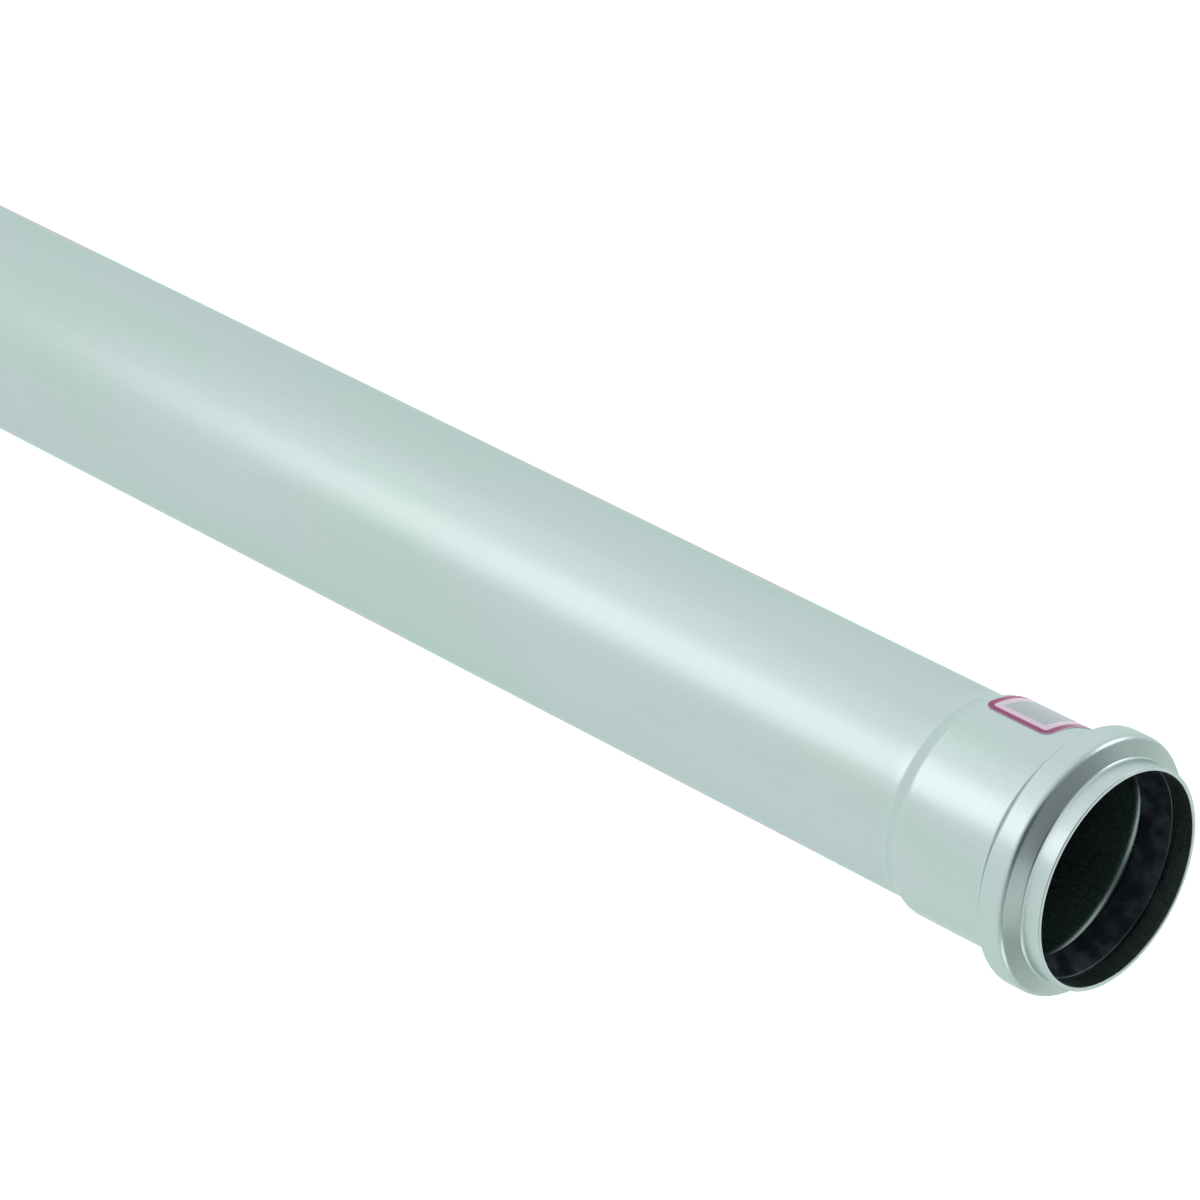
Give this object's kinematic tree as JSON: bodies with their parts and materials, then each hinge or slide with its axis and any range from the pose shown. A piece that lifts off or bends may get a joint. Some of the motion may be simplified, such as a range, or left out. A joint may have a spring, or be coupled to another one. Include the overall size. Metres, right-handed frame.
{
  "type": "stainless steel drain pipe",
  "caption": "Straight thin-walled drain pipe with a plain spigot end and a formed push-fit socket that holds a rubber lip seal; a blank label is stuck to the socket.",
  "frame": {"origin": "centre of the spigot's end face, on which the pipe stands", "axes": "+Z along the pipe's axis, from the spigot end to the mouth of the socket; the label faces -X"},
  "size_m": [0.0619, 0.0618, 0.5453],
  "materials": {
    "stainless_steel": "satin",
    "seal_rubber": "smooth, slightly waxy",
    "label_film": "satin film with a magenta border"
  },
  "bodies": {
    "root": {"socket_pipe": "stainless_steel", "seal_ring": "seal_rubber", "label": "label_film"}
  },
  "joints": []
}
